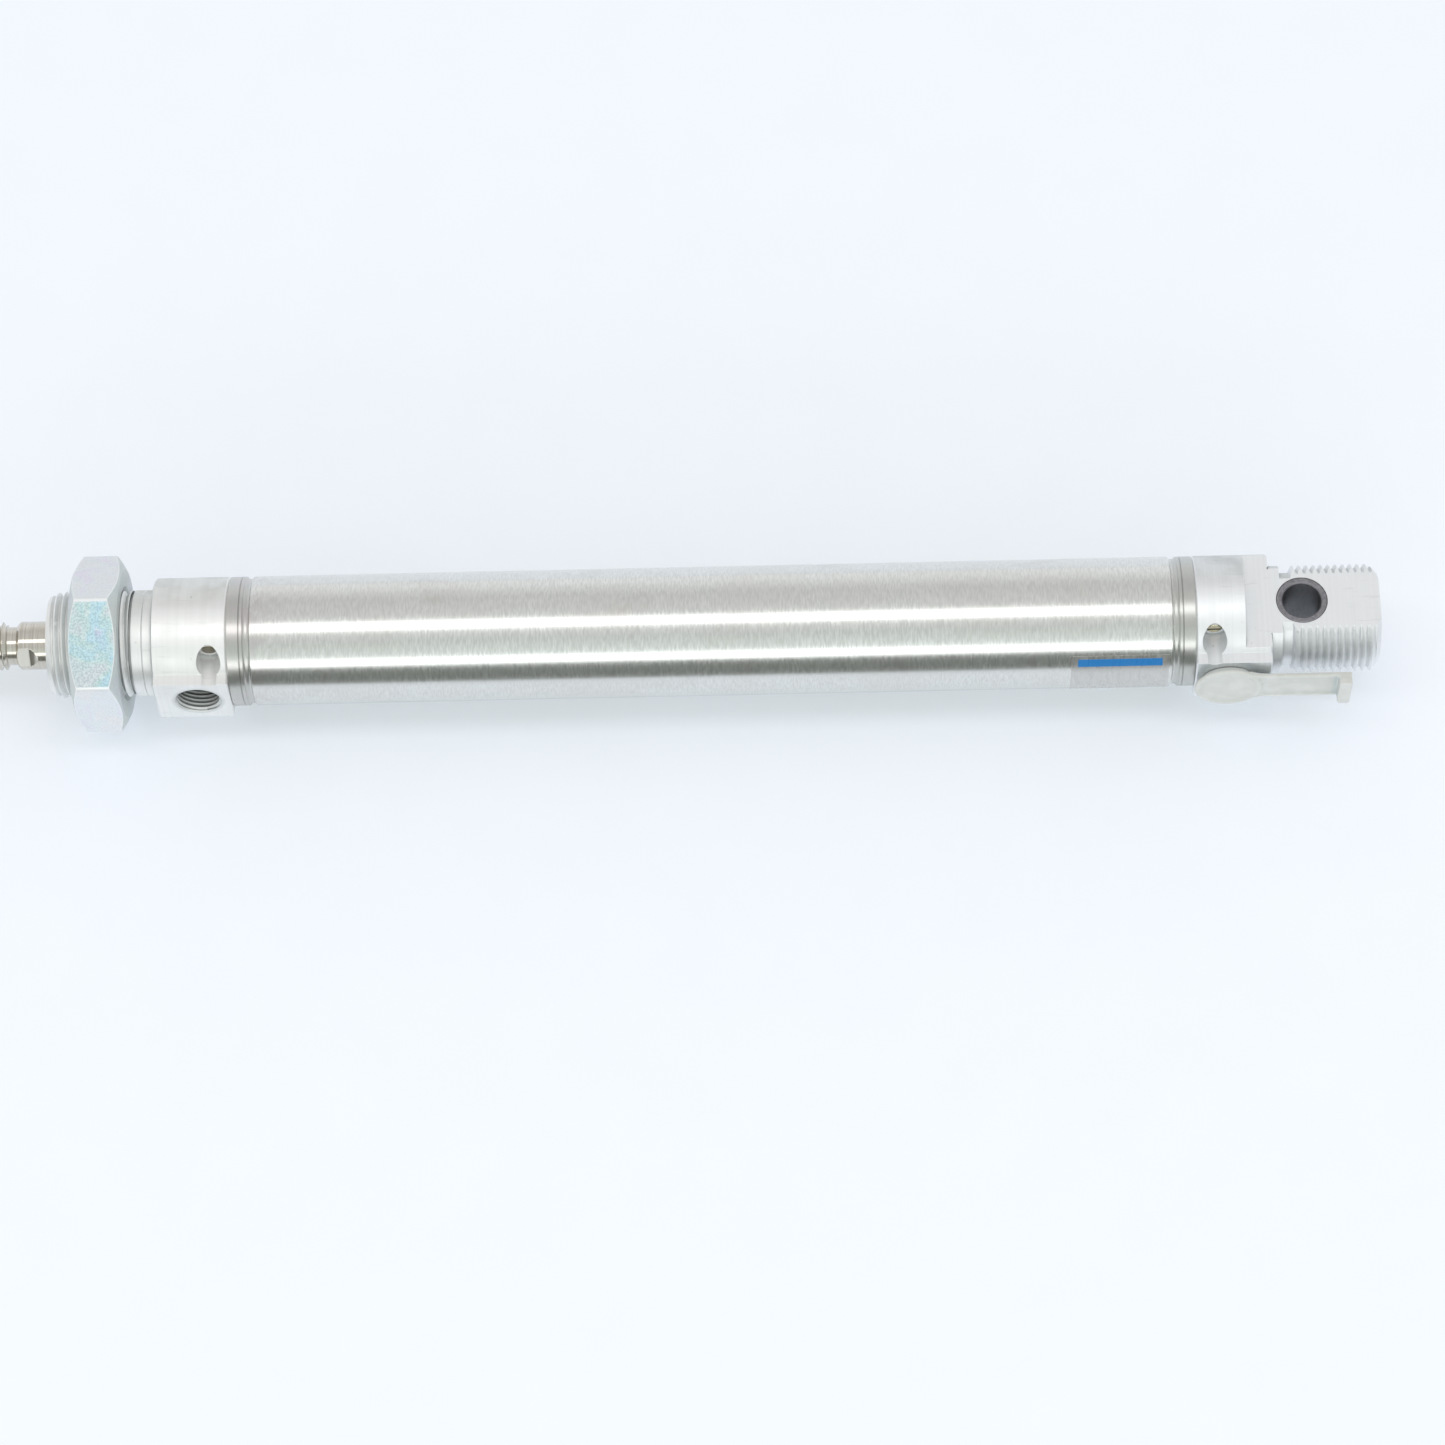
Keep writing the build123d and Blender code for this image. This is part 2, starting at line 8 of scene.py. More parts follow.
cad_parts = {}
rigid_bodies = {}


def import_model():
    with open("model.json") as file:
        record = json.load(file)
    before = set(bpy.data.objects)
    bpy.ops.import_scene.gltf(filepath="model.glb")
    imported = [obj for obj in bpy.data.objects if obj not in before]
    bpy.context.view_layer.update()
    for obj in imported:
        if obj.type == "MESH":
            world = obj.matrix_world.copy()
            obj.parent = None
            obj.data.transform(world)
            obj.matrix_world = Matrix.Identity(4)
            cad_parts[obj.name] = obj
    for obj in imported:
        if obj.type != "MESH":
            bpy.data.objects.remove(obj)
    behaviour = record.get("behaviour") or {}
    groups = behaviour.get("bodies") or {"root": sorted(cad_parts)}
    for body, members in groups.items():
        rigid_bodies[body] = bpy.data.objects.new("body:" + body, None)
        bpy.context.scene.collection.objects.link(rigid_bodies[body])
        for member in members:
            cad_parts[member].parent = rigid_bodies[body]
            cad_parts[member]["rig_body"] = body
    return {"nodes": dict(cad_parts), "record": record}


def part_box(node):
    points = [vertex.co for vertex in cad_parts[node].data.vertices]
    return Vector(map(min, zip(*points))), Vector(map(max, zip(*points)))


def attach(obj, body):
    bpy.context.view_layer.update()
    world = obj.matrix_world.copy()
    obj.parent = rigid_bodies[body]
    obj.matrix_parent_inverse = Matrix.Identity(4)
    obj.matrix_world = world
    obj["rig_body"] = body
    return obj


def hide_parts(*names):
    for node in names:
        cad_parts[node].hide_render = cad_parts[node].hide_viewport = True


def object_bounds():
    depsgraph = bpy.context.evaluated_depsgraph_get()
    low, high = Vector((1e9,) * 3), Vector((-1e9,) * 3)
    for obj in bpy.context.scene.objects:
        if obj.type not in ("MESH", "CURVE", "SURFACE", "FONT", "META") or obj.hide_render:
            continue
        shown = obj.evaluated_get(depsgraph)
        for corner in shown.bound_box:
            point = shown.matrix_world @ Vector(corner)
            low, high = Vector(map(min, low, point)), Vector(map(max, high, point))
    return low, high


# The looks of a round pneumatic cylinder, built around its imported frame. Lengths are in metres in the
# row frame: X runs along the axis to the rear lug, the ports open towards -Y and the pivot is along Z.

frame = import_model()
cad_low, cad_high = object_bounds()
nodes = frame["nodes"]
mount_point = {mount["name"]: Vector(mount["pos_m"]) for mount in frame["record"]["mounts"]}
port_y = mount_point["rear_port"].y

MM = 0.001
MICRON = 0.001 * MM
TURN = 2 * math.pi

# The rod's wrench flats: their turn about X, and where they lie along it.
wrench_flat_turn = math.radians(151)
wrench_flat_start_x, wrench_flat_end_x = -29.0 * MM, -24.5 * MM


# ---- Camera: above the part, leaning towards the port side ----

camera_lean = math.radians(28.3)
camera_place = Vector((136.08, -0.07, 978.5)) * MM
camera_tilt = Vector((0.0195, -0.0197, 0.0212))
camera_lens = 117.8
lean = Matrix.Rotation(camera_lean, 4, "X")

camera = bpy.data.objects.new("camera", bpy.data.cameras.new("camera"))
bpy.context.scene.collection.objects.link(camera)
camera.data.lens = camera_lens
camera.data.sensor_width = 36
camera.data.clip_start = 0.05
camera.data.clip_end = 50
tilt = Matrix.Rotation(-camera_tilt.length, 4, camera_tilt.normalized())
camera.matrix_world = lean @ Matrix.Translation(camera_place) @ tilt
bpy.context.scene.camera = camera
bpy.context.scene.view_settings.view_transform = "Standard"


def toward(degrees):
    """A direction in the YZ plane, turned from the camera's direction towards +Y."""
    return lean.to_3x3() @ Vector((0, math.sin(math.radians(degrees)), math.cos(math.radians(degrees))))


# ---- Materials ----

class Finish:
    """A Principled material with short calls that grow its node graph, in object coordinates."""

    def __init__(self, name, color, metallic=0.0, roughness=0.5, **sockets):
        self.material = bpy.data.materials.new(name)
        self.material.use_nodes = True
        self.tree = self.material.node_tree
        self.shader = self.tree.nodes["Principled BSDF"]
        self.place = self.add("ShaderNodeTexCoord").outputs["Object"]
        self.set("Base Color", (*color, 1))
        self.set("Metallic", metallic)
        self.set("Roughness", roughness)
        for socket, value in sockets.items():
            self.set(socket.replace("_", " ").title().replace("Ior", "IOR"), value)

    def set(self, socket, value):
        self.feed(self.shader.inputs[socket], value)

    def feed(self, socket, value):
        if isinstance(value, bpy.types.NodeSocket):
            self.tree.links.new(value, socket)
        else:
            socket.default_value = value

    def add(self, kind, inputs=None, **settings):
        node = self.tree.nodes.new(kind)
        for name, value in settings.items():
            setattr(node, name, value)
        for name, value in (inputs or {}).items():
            self.feed(node.inputs[name], value)
        return node

    def noise(self, stretch, detail=3.0, distortion=0.0):
        """Noise whose cycles per metre along X, Y and Z are given by stretch."""
        scaled = self.add("ShaderNodeMapping", {"Vector": self.place, "Scale": stretch})
        inputs = {"Vector": scaled.outputs[0], "Scale": 1.0, "Detail": detail, "Distortion": distortion}
        return self.add("ShaderNodeTexNoise", inputs).outputs["Fac"]

    def span(self, value, start, end, low, high):
        """Value from start to end, mapped to low to high and held there."""
        inputs = {"Value": value, "From Min": start, "From Max": end, "To Min": low, "To Max": high}
        return self.add("ShaderNodeMapRange", inputs).outputs[0]

    def math(self, operation, first, second=0.0):
        node = self.add("ShaderNodeMath", operation=operation)
        self.feed(node.inputs[0], first)
        self.feed(node.inputs[1], second)
        return node.outputs[0]

    def grade(self, value, *stops):
        """A colour ramp through (position, colour) stops."""
        ramp = self.add("ShaderNodeValToRGB", {"Fac": value})
        elements = ramp.color_ramp.elements
        while len(elements) < len(stops):
            elements.new(0.5)
        for element, (position, color) in zip(elements, stops):
            element.position = position
            element.color = (*color, 1)
        return ramp.outputs["Color"]

    def blend(self, factor, first, second, mode="MIX"):
        node = self.add("ShaderNodeMixRGB", {"Fac": factor}, blend_type=mode)
        for name, value in (("Color1", first), ("Color2", second)):
            self.feed(node.inputs[name], (*value, 1) if isinstance(value, tuple) else value)
        return node.outputs["Color"]

    def bump(self, height, depth, normal=None):
        """A normal for relief that is depth metres deep."""
        inputs = {"Height": height, "Distance": depth, "Strength": 1.0}
        if normal:
            inputs["Normal"] = normal
        return self.add("ShaderNodeBump", inputs).outputs["Normal"]

    def rounded(self, radius):
        """The surface normal with every edge rounded to that radius."""
        return self.add("ShaderNodeBevel", {"Radius": radius}, samples=4).outputs["Normal"]

    def recess(self, reach, closed, open_air):
        """1 in a recess of this piece, falling to 0 where more of the space within reach is open."""
        node = self.add("ShaderNodeAmbientOcclusion", {"Distance": reach}, samples=8, only_local=True)
        return self.span(node.outputs["AO"], closed, open_air, 1.0, 0.0)

    def facing(self, direction):
        """The cosine of the angle between a face and that direction, in object space."""
        normal = self.add("ShaderNodeTexCoord").outputs["Normal"]
        product = self.add("ShaderNodeVectorMath", {0: normal, 1: direction}, operation="DOT_PRODUCT")
        return product.outputs["Value"]

    def edge(self, radius, sharpest=0.9):
        """0 on open faces, rising to 1 within radius of an edge that turns far enough."""
        normals = {0: self.rounded(radius), 1: self.add("ShaderNodeNewGeometry").outputs["Normal"]}
        product = self.add("ShaderNodeVectorMath", normals, operation="DOT_PRODUCT")
        return self.span(product.outputs["Value"], 0.998, sharpest, 0.0, 1.0)


def brushed_barrel():
    """Drawn stainless tube: fine scratches, faint stains, dull lips with painted shade, a heat tint at the
    front and painted shade in its recesses.
    """
    brushed = {"anisotropic": 0.3, "anisotropic_rotation": 0.25}
    f = Finish("barrel_brushed_steel", (0.72, 0.72, 0.70), 1.0, 0.2, **brushed)
    f.set("Tangent", f.add("ShaderNodeTangent", direction_type="RADIAL", axis="X").outputs[0])
    scratch = f.noise((3000, 620, 620), 3.0)
    cloud = f.noise((70, 55, 55), 3.0, 0.3)
    stain = f.noise((85, 130, 130), 4.0, 0.4)
    tone = f.grade(
        scratch,
        (0.34, (0.68, 0.69, 0.67)),
        (0.50, (0.74, 0.75, 0.73)),
        (0.68, (0.80, 0.81, 0.79)),
    )
    tone = f.blend(f.span(cloud, 0.42, 0.66, 0.0, 0.30), tone, (0.70, 0.685, 0.66))
    tone = f.blend(f.span(stain, 0.60, 0.72, 0.0, 0.30), tone, (0.58, 0.54, 0.52))
    along = f.add("ShaderNodeSeparateXYZ", {"Vector": f.place}).outputs["X"]
    front_lip, rear_lip = (corner.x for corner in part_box("barrel_tube"))
    dull_length, fully_dull_length = 4.8 * MM, 4.2 * MM
    # Towards each lip the colour is darkened, which is painted shade, and the roughness is raised for a
    # duller finish.
    at_front = f.span(along, front_lip + fully_dull_length, front_lip + dull_length, 0.7, 0.0)
    at_rear = f.span(along, rear_lip - dull_length, rear_lip - fully_dull_length, 0.0, 0.7)
    dull = f.math("ADD", at_front, at_rear)
    tone = f.blend(dull, tone, (0.50, 0.505, 0.48))
    heat_start, heat_end = front_lip + 5 * MM, front_lip + 13 * MM
    near_lip = f.span(along, heat_start, heat_end, 1.0, 0.0)
    heat = f.math("MULTIPLY", near_lip, f.span(f.noise((300, 260, 260), 4.0, 0.6), 0.46, 0.58, 0.0, 0.55))
    tone = f.blend(heat, tone, (0.62, 0.58, 0.58))
    # Painted shade: the colour darkens in the tube's own recesses.
    tone = f.blend(f.math("MULTIPLY", f.recess(0.6 * MM, 0.45, 0.85), 0.7), tone, (0.16, 0.17, 0.15))
    f.set("Base Color", tone)
    f.set("Roughness", f.math("ADD", f.span(scratch, 0.3, 0.7, 0.21, 0.26), f.math("MULTIPLY", dull, 0.1)))
    f.set("Normal", f.bump(scratch, 2.4 * MICRON, f.rounded(0.08 * MM)))
    return f.material


def turned_aluminium(name, tint, port=None):
    """Satin aluminium, turned: rings, scratches and pits, with painted shade on its upper side and in its
    grooves and painted highlights on its edges.

    port is the middle of a port's mouth, which gets a ring of painted shade round it and painted shade
    inside.
    """
    f = Finish(name, tint, 1.0, 0.5)
    rings = f.noise((1900, 22, 22), 3.0)
    mottle = f.noise((190, 190, 190), 4.0)
    scratch = f.noise((140, 1300, 1300), 2.0, 0.6)
    pits = f.noise((900, 900, 900), 2.0)
    light = tuple(min(1.0, channel * 1.02) for channel in tint)
    dark = tuple(channel * 0.965 for channel in tint)
    tone = f.grade(rings, (0.30, dark), (0.52, tint), (0.72, light))
    tone = f.blend(f.span(mottle, 0.42, 0.66, 0.0, 0.35), tone, dark)
    tone = f.blend(f.span(scratch, 0.64, 0.72, 0.0, 0.3), tone, tuple(channel * 0.78 for channel in tint))
    tone = f.blend(f.span(pits, 0.72, 0.76, 0.0, 0.5), tone, tuple(channel * 0.55 for channel in tint))
    # Painted shade, mottled: faces that look up towards +Y are darkened.
    upper_side_shade = f.span(f.facing(toward(70)), 0.75, 1.0, 0.0, 1.0)
    upper_shade_tone = f.grade(mottle, (0.40, (0.84, 0.84, 0.83)), (0.66, (0.72, 0.72, 0.70)))
    tone = f.blend(upper_side_shade, tone, upper_shade_tone, "MULTIPLY")
    # Painted shade: the colour darkens in recesses such as thread grooves.
    groove_shade = f.math("MULTIPLY", f.recess(1.3 * MM, 0.35, 0.80), 0.65)
    tone = f.blend(groove_shade, tone, (0.11, 0.13, 0.12))
    if port:
        offset = f.add("ShaderNodeVectorMath", {0: f.place, 1: port}, operation="SUBTRACT").outputs[0]
        flat = f.add("ShaderNodeVectorMath", {0: offset, 1: (1, 0, 1)}, operation="MULTIPLY").outputs[0]
        across = f.add("ShaderNodeVectorMath", {0: flat}, operation="LENGTH").outputs["Value"]
        depth = f.add("ShaderNodeSeparateXYZ", {"Vector": offset}).outputs["Y"]
        port_radius, port_start, port_end = 5.0 * MM, 0.3 * MM, 12 * MM
        rim_start, rim_end = 4.9 * MM, 5.7 * MM
        outside = f.math("LESS_THAN", depth, port_start)
        # A ring of painted shade round the port's mouth, fading outwards, in place of a chamfer's shading.
        mouth_ring_shade = f.math("MULTIPLY", outside, f.span(across, rim_start, rim_end, 0.45, 0.0))
        tone = f.blend(mouth_ring_shade, tone, (0.50, 0.53, 0.52))
        inside = f.math("LESS_THAN", across, port_radius)
        inside = f.math("MULTIPLY", inside, f.math("GREATER_THAN", depth, port_start))
        inside = f.math("MULTIPLY", inside, f.math("LESS_THAN", depth, port_end))
        # Painted shade inside the port: darker in its grooves and further in.
        port_shade = f.math("MAXIMUM", f.recess(0.9 * MM, 0.45, 0.85), f.span(depth, 1 * MM, 6 * MM, 0.1, 0.8))
        tone = f.blend(f.math("MULTIPLY", inside, port_shade), tone, (0.035, 0.055, 0.05))
    # Painted highlight along the edges and thread crests.
    tone = f.blend(f.math("MULTIPLY", f.edge(0.18 * MM), 0.7), tone, (0.97, 0.975, 0.98))
    f.set("Base Color", tone)
    f.set("Roughness", f.span(mottle, 0.3, 0.7, 0.44, 0.56))
    relief = f.bump(rings, 2.5 * MICRON, f.rounded(0.06 * MM))
    f.set("Normal", f.bump(scratch, 8 * MICRON, relief))
    return f.material


def rod_steel():
    """Ground stainless rod with a warm tint and fine rings; satin milled wrench flats, painted lighter as a
    painted highlight.
    """
    brushed = {"anisotropic": 0.4, "anisotropic_rotation": 0.25}
    f = Finish("rod_ground_steel", (0.66, 0.62, 0.56), 1.0, 0.14, **brushed)
    f.set("Tangent", f.add("ShaderNodeTangent", direction_type="RADIAL", axis="X").outputs[0])
    rings = f.noise((3200, 40, 40), 3.0)
    film = f.noise((160, 260, 260), 3.0)
    tone = f.grade(
        rings,
        (0.30, (0.56, 0.52, 0.46)),
        (0.55, (0.68, 0.65, 0.59)),
        (0.75, (0.76, 0.74, 0.69)),
    )
    tone = f.blend(f.span(film, 0.45, 0.68, 0.0, 0.4), tone, (0.50, 0.46, 0.39))
    squareness = f.facing((0, math.cos(wrench_flat_turn), math.sin(wrench_flat_turn)))
    milled = f.span(f.math("ABSOLUTE", squareness), 0.990, 0.997, 0.0, 1.0)
    along = f.add("ShaderNodeSeparateXYZ", {"Vector": f.place}).outputs["X"]
    milled = f.math("MULTIPLY", milled, f.math("LESS_THAN", along, wrench_flat_end_x))
    milled = f.math("MULTIPLY", milled, f.math("GREATER_THAN", along, wrench_flat_start_x))
    # The wrench flats are painted light, a painted highlight, and are rougher for their milled finish.
    tone = f.blend(milled, tone, (0.93, 0.91, 0.86))
    f.set("Base Color", tone)
    smooth = f.span(film, 0.3, 0.7, 0.10, 0.24)
    f.set("Roughness", f.span(milled, 0.0, 1.0, smooth, 0.62))
    f.set("Normal", f.bump(rings, 2 * MICRON, f.rounded(0.12 * MM)))
    return f.material


def zinc_plate():
    """Blue passivated zinc plate: the flat facing the camera is tinted and grained, the rest is painted
    pale as a painted sheen; worn edges with a painted highlight, painted highlights on the rounded corners
    and painted shade on the end faces.
    """
    f = Finish("nut_zinc_plate", (0.66, 0.74, 0.76), 0.35, 0.42)
    film = f.noise((120, 130, 130), 2.0, 0.8)
    grain = f.noise((2700, 2700, 2700), 4.0)
    lumps = f.noise((700, 700, 700), 3.0)
    tone = f.grade(
        film,
        (0.34, (0.66, 0.73, 0.86)),
        (0.44, (0.57, 0.79, 0.88)),
        (0.54, (0.63, 0.80, 0.79)),
        (0.66, (0.72, 0.78, 0.81)),
    )
    strong_grain = f.grade(grain, (0.38, (0.64, 0.68, 0.71)), (0.60, (1.0, 1.0, 1.0)))
    tone = f.blend(0.8, tone, strong_grain, "MULTIPLY")
    tone = f.blend(f.span(lumps, 0.57, 0.68, 0.0, 0.4), tone, (0.86, 0.90, 0.92))
    # The faces other than the one facing the camera get this pale colour, a painted sheen for their
    # glancing reflections.
    pale = f.grade(
        film,
        (0.36, (0.80, 0.79, 0.87)),
        (0.48, (0.79, 0.83, 0.86)),
        (0.64, (0.82, 0.82, 0.84)),
    )
    weak_grain = f.grade(grain, (0.38, (0.76, 0.78, 0.80)), (0.60, (1.0, 1.0, 1.0)))
    pale = f.blend(0.35, pale, weak_grain, "MULTIPLY")
    tone = f.blend(f.span(f.facing(toward(0)), 0.93, 0.985, 0.0, 1.0), pale, tone)
    # Painted shade: the end faces across X are darkened towards grey green.
    end_face = f.span(f.math("ABSOLUTE", f.facing((1, 0, 0))), 0.4, 0.8, 0.0, 1.0)
    tone = f.blend(end_face, tone, (0.78, 0.82, 0.79), "MULTIPLY")
    # Edges painted near white: worn plating, together with a painted highlight.
    tone = f.blend(f.edge(0.3 * MM, 0.98), tone, (0.98, 0.985, 0.99))
    # Painted highlight along the rounded corners between the flats.
    flat = f.add("ShaderNodeVectorMath", {0: f.place, 1: (0, 1, 1)}, operation="MULTIPLY").outputs[0]
    radius = f.add("ShaderNodeVectorMath", {0: flat}, operation="LENGTH").outputs["Value"]
    corner_start, corner_end = 18.19 * MM, 18.23 * MM
    tone = f.blend(f.span(radius, corner_start, corner_end, 0.0, 0.85), tone, (0.98, 0.985, 0.99))
    f.set("Base Color", tone)
    f.set("Roughness", f.span(lumps, 0.3, 0.7, 0.38, 0.54))
    relief = f.bump(lumps, 20 * MICRON, f.rounded(0.2 * MM))
    f.set("Normal", f.bump(grain, 10 * MICRON, relief))
    return f.material


def dark_bush():
    """Burnished dark steel bush with turning rings round the pivot, painted shade inside its bore and a
    painted highlight on its edges.
    """
    f = Finish("pivot_bush_dark_steel", (0.26, 0.25, 0.27), 0.85, 0.42)
    speckle = f.noise((1500, 1500, 500), 3.0)
    centre = f.add("ShaderNodeVectorMath", {0: f.place, 1: mount_point["pivot_bore"]}, operation="SUBTRACT")
    flat = f.add("ShaderNodeVectorMath", {0: centre.outputs[0], 1: (1, 1, 0)}, operation="MULTIPLY")
    radius = f.add("ShaderNodeVectorMath", {0: flat.outputs[0]}, operation="LENGTH").outputs["Value"]
    ring_pitch = 0.28 * MM
    rings = f.math("SINE", f.math("MULTIPLY", radius, TURN / ring_pitch))
    tone = f.grade(speckle, (0.35, (0.20, 0.195, 0.21)), (0.68, (0.33, 0.32, 0.34)))
    # Painted shade inside the bore.
    tone = f.blend(f.recess(6 * MM, 0.55, 0.95), tone, (0.02, 0.026, 0.03))
    # Painted highlight along the edges.
    tone = f.blend(f.math("MULTIPLY", f.edge(0.2 * MM), 0.5), tone, (0.50, 0.48, 0.50))
    f.set("Base Color", tone)
    f.set("Roughness", f.span(speckle, 0.3, 0.7, 0.34, 0.52))
    f.set("Normal", f.bump(rings, 6 * MICRON, f.rounded(0.1 * MM)))
    return f.material


def brass(name, color):
    """Turned brass or bronze with fine rings and a little tarnish."""
    f = Finish(name, color, 1.0, 0.3)
    rings = f.noise((2500, 2500, 2500), 3.0)
    tarnish = f.noise((500, 500, 500), 3.0)
    dull = tuple(channel * 0.6 for channel in color)
    f.set("Base Color", f.blend(f.span(tarnish, 0.45, 0.7, 0.0, 0.6), color, dull))
    f.set("Roughness", f.span(tarnish, 0.3, 0.7, 0.24, 0.45))
    f.set("Normal", f.bump(rings, 3 * MICRON, f.rounded(0.1 * MM)))
    return f.material


def rubber(name, color):
    """Moulded rubber with a fine matt grain."""
    f = Finish(name, color, 0.0, 0.6)
    grain = f.noise((3500, 3500, 3500), 2.0)
    bloom = f.noise((400, 400, 400), 3.0)
    pale = tuple(channel * 1.6 + 0.01 for channel in color)
    f.set("Base Color", f.blend(f.span(bloom, 0.4, 0.7, 0.0, 0.7), color, pale))
    f.set("Roughness", f.span(bloom, 0.3, 0.7, 0.5, 0.75))
    f.set("Normal", f.bump(grain, 6 * MICRON))
    return f.material


def guide_plastic():
    """Filled bearing plastic with a flecked brown body."""
    f = Finish("guide_ring_plastic", (0.30, 0.20, 0.12), 0.0, 0.5)
    flecks = f.noise((1800, 1800, 1800), 3.0)
    f.set("Base Color", f.grade(flecks, (0.35, (0.20, 0.13, 0.08)), (0.68, (0.42, 0.30, 0.19))))
    f.set("Roughness", f.span(flecks, 0.3, 0.7, 0.42, 0.6))
    f.set("Normal", f.bump(flecks, 6 * MICRON))
    return f.material


def plug_polyethylene():
    """Milky soft polyethylene with flow marks, a painted highlight along its rims and painted shade in its
    hollows.
    """
    f = Finish("plug_polyethylene", (0.62, 0.63, 0.60), 0.0, 0.36)
    flow = f.noise((220, 420, 220), 4.0, 0.8)
    grain = f.noise((1600, 1600, 1600), 2.0)
    tone = f.grade(flow, (0.36, (0.60, 0.61, 0.575)), (0.64, (0.68, 0.685, 0.66)))
    # Painted shade in the hollows, grey blue.
    tone = f.blend(f.recess(1.6 * MM, 0.55, 0.92), tone, (0.50, 0.58, 0.60))
    # Painted highlight along the rims.
    tone = f.blend(f.math("MULTIPLY", f.edge(0.5 * MM), 0.6), tone, (0.84, 0.84, 0.81))
    f.set("Base Color", tone)
    f.set("Roughness", f.span(flow, 0.3, 0.7, 0.28, 0.46))
    f.set("Normal", f.bump(flow, 20 * MICRON, f.bump(grain, 4 * MICRON)))
    return f.material


def label_film():
    """A silvery film label, blank but for one blue bar near its upper edge."""
    f = Finish("label_silver_film", (0.66, 0.66, 0.64), 1.0, 0.3)
    low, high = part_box("rating_label")
    margin, soft_length = 1.3 * MM, 0.1 * MM
    parts = f.add("ShaderNodeSeparateXYZ", {"Vector": f.place}).outputs
    turn = f.math("ARCTAN2", parts["Z"], parts["Y"])
    bar_start, bar_end = math.radians(151.6), math.radians(160.4)
    soft_turn = math.radians(0.5)
    edges = (
        f.span(parts["X"], low.x + margin, low.x + margin + soft_length, 0.0, 1.0),
        f.span(parts["X"], high.x - margin - soft_length, high.x - margin, 1.0, 0.0),
        f.span(turn, bar_start, bar_start + soft_turn, 0.0, 1.0),
        f.span(turn, bar_end - soft_turn, bar_end, 1.0, 0.0),
    )
    bar = edges[0]
    for edge in edges[1:]:
        bar = f.math("MULTIPLY", bar, edge)
    grain = f.noise((1400, 300, 300), 3.0)
    film = f.grade(grain, (0.34, (0.60, 0.595, 0.575)), (0.66, (0.68, 0.675, 0.655)))
    f.set("Base Color", f.blend(bar, film, (0.02, 0.20, 0.52)))
    f.set("Metallic", f.span(bar, 0.0, 1.0, 1.0, 0.1))
    f.set("Roughness", f.span(grain, 0.3, 0.7, 0.25, 0.34))
    f.set("Normal", f.bump(grain, 2 * MICRON))
    return f.material


port_mouth = {end: Vector((mount_point[f"{end}_port"].x, port_y, 0)) for end in ("front", "rear")}
front_aluminium = turned_aluminium("front_cap_satin_aluminium", (0.91, 0.915, 0.905), port_mouth["front"])
rear_aluminium = turned_aluminium("rear_cap_satin_aluminium", (0.89, 0.905, 0.92), port_mouth["rear"])
ground_rod = rod_steel()
black_rubber = rubber("seal_black_rubber", (0.035, 0.035, 0.04))

node_finish = {
    "barrel_tube": brushed_barrel(),
    "pivot_bush": dark_bush(),
    "rating_label": label_film(),
    "rod_guide_bush": brass("guide_bush_bronze", (0.60, 0.45, 0.27)),
    "rod_wiper_seal": rubber("wiper_dark_rubber", (0.06, 0.075, 0.085)),
    "piston_guide_ring": guide_plastic(),
    "piston_front_half": turned_aluminium("piston_turned_aluminium", (0.80, 0.81, 0.82)),
    "front_cushion_sleeve": ground_rod,
    "rear_cushion_spear": ground_rod,
    # The front screw is given a darker brass colour than the rear one.
    "front_cushion_screw": brass("front_screw_dark_brass", (0.30, 0.24, 0.15)),
    "rear_cushion_screw": brass("rear_screw_brass", (0.52, 0.48, 0.35)),
}
node_finish["piston_rear_half"] = node_finish["piston_front_half"]
for name in nodes:
    if name.endswith(("o_ring", "cushion_seal", "front_seal", "rear_seal")):
        node_finish[name] = black_rubber
for name, finish in node_finish.items():
    slots = nodes[name].data.materials
    slots.clear()
    slots.append(finish)


# ---- Mesh helpers ----

def new_piece(name, mesh, finish):
    """A new object with that mesh and one material."""
    piece = bpy.data.objects.new(name, mesh)
    bpy.context.scene.collection.objects.link(piece)
    mesh.materials.clear()
    mesh.materials.append(finish)
    return piece


def stand_for(piece, node):
    """Let piece take a CAD node's place: put it on that node's body and hide the node."""
    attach(piece, nodes[node]["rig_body"])
    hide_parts(node)


def closed_copy(node):
    """A copy of a CAD node's mesh, welded closed, with its exact normals kept beside it as cad_normal."""
    mesh = nodes[node].data.copy()
    kept = mesh.attributes.new("cad_normal", "FLOAT_VECTOR", "CORNER")
    kept.data.foreach_set("vector", [value for normal in mesh.corner_normals for value in normal.vector])
    work = bmesh.new()
    work.from_mesh(mesh)
    bmesh.ops.remove_doubles(work, verts=work.verts, dist=0.0001 * MM)
    mesh.clear_geometry()
    work.to_mesh(mesh)
    work.free()
    return mesh


def shade_around_cuts(mesh, angle=32):
    """Smooth shading up to that angle on cut faces, and the exact normals again on what was not cut."""
    mesh.shade_smooth()
    mesh.set_sharp_from_angle(angle=math.radians(angle))
    kept = [corner.vector.copy() for corner in mesh.attributes["cad_normal"].data]
    own = [corner.vector.copy() for corner in mesh.corner_normals]
    normals = [exact if exact.length > 0.5 else plain for exact, plain in zip(kept, own)]
    mesh.normals_split_custom_set(normals)
    mesh.attributes.remove(mesh.attributes["cad_normal"])


def apply_modifiers(piece):
    """Bake the piece's modifiers into its mesh."""
    graph = bpy.context.evaluated_depsgraph_get()
    mesh = bpy.data.meshes.new_from_object(piece.evaluated_get(graph))
    piece.modifiers.clear()
    piece.data = mesh


def cut(piece, cutter):
    """Take the cutter's volume away from piece."""
    modifier = piece.modifiers.new("cut", "BOOLEAN")
    modifier.operation = "DIFFERENCE"
    modifier.solver = "EXACT"
    modifier.object = cutter
    apply_modifiers(piece)
    bpy.data.objects.remove(cutter)


